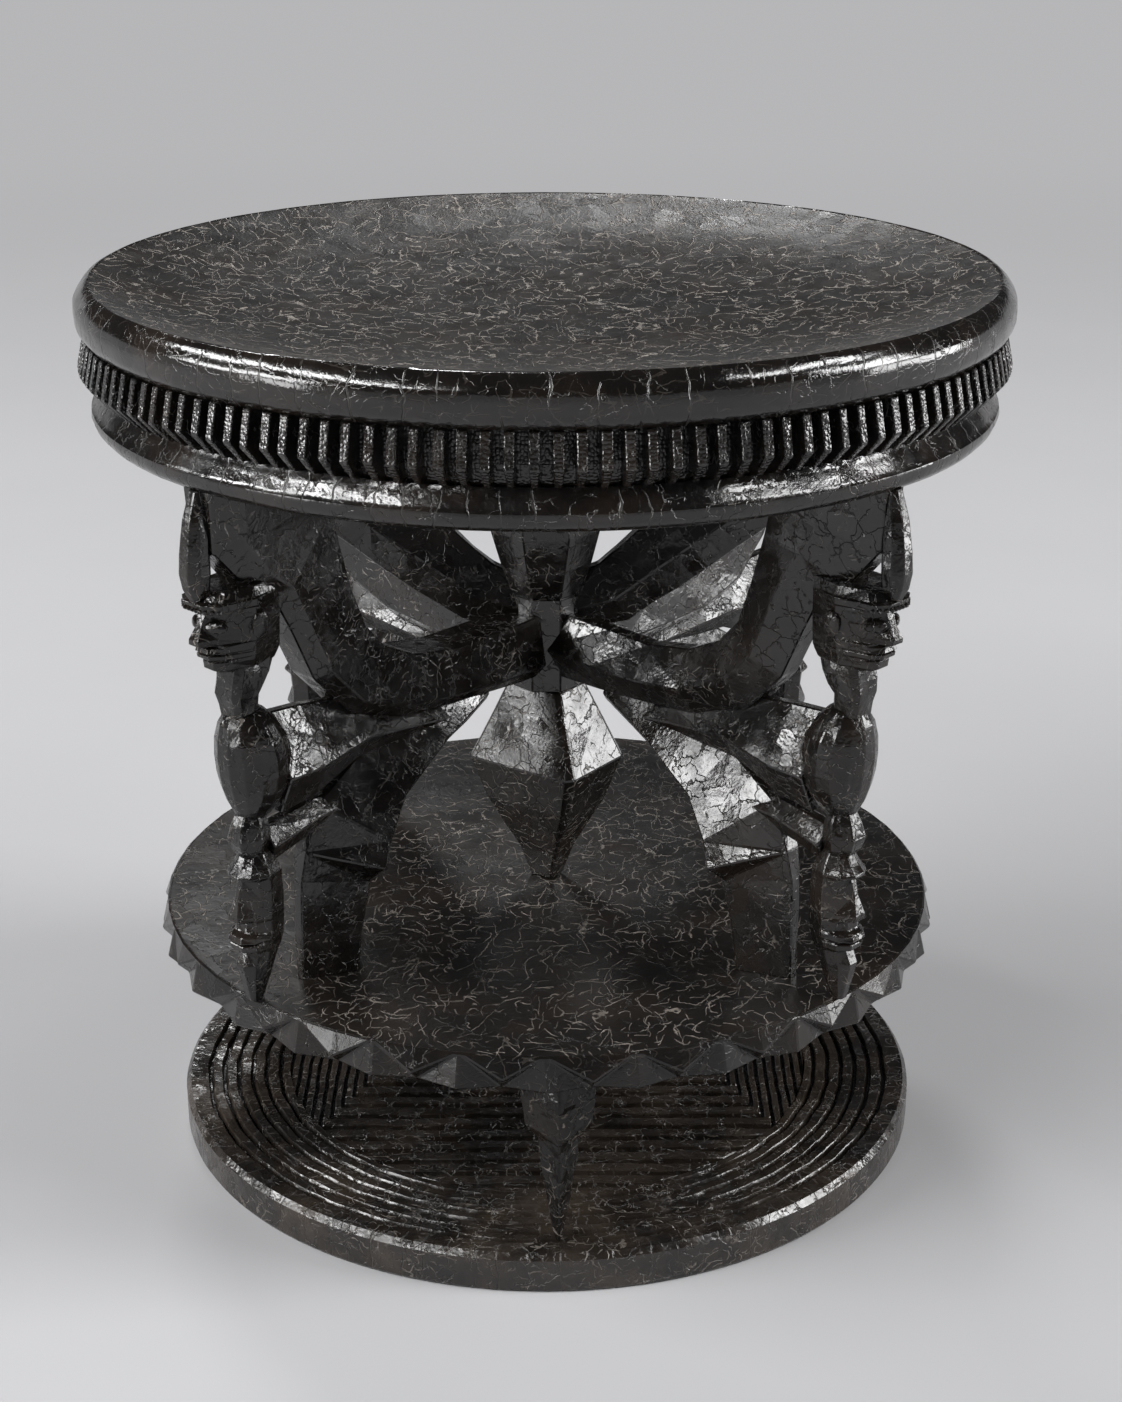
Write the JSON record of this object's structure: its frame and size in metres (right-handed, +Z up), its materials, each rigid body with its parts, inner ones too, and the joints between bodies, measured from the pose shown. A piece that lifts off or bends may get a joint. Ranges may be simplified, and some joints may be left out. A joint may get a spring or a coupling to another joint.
{
  "type": "carved stool",
  "caption": "Round carved wooden stool: a dished seat over a ribbed band, carried by carved figures and bent arms round a central post, on a toothed disc, short supports and a ridged base.",
  "frame": {"origin": "middle of the base's flat underside, on the floor", "axes": "+Z up the stool's axis, the seat on top; -Y towards the viewer, where one support stands in the middle and two panels stand left and right; +X to the viewer's right"},
  "size_m": [0.43, 0.43, 0.429],
  "materials": {
    "base_wood": "near-black oiled hardwood, half matt, with brown dust in the grooves",
    "support_wood": "near-black oiled hardwood, knife-cut facets",
    "disc_wood": "near-black oiled hardwood, finely scratched",
    "post_wood": "near-black oiled hardwood, broad facets",
    "figure_wood": "near-black oiled hardwood, half gloss",
    "limb_wood": "near-black oiled hardwood, half gloss, crackled",
    "rib_wood": "near-black oiled hardwood, half gloss",
    "seat_wood": "near-black oiled hardwood, rubbed to a gloss on the rim"
  },
  "bodies": {
    "root": {"base_disc": "base_wood", "strut_front": "support_wood", "strut_right": "support_wood", "strut_left": "support_wood", "middle_disc": "disc_wood", "hub": "post_wood", "stem": "post_wood", "pendant": "post_wood", "belly_1": "figure_wood", "lower_head_1": "figure_wood", "cradle_arm_1": "limb_wood", "leg_1": "limb_wood", "thigh_1": "limb_wood", "head_1": "figure_wood", "crest_1": "figure_wood", "torso_1": "figure_wood", "knot_1": "figure_wood", "brace_1": "limb_wood", "belly_2": "figure_wood", "lower_head_2": "figure_wood", "cradle_arm_2": "limb_wood", "leg_2": "limb_wood", "thigh_2": "limb_wood", "head_2": "figure_wood", "crest_2": "figure_wood", "torso_2": "figure_wood", "knot_2": "figure_wood", "brace_2": "limb_wood", "belly_3": "figure_wood", "lower_head_3": "figure_wood", "cradle_arm_3": "limb_wood", "leg_3": "limb_wood", "thigh_3": "limb_wood", "head_3": "figure_wood", "crest_3": "figure_wood", "torso_3": "figure_wood", "knot_3": "figure_wood", "brace_3": "limb_wood", "belly_4": "figure_wood", "lower_head_4": "figure_wood", "cradle_arm_4": "limb_wood", "leg_4": "limb_wood", "thigh_4": "limb_wood", "head_4": "figure_wood", "crest_4": "figure_wood", "torso_4": "figure_wood", "knot_4": "figure_wood", "brace_4": "limb_wood", "raised_arm_right": "limb_wood", "raised_arm_left": "limb_wood", "seat_moulding": "seat_wood", "rib_band": "rib_wood", "seat_dish": "seat_wood"}
  },
  "joints": []
}
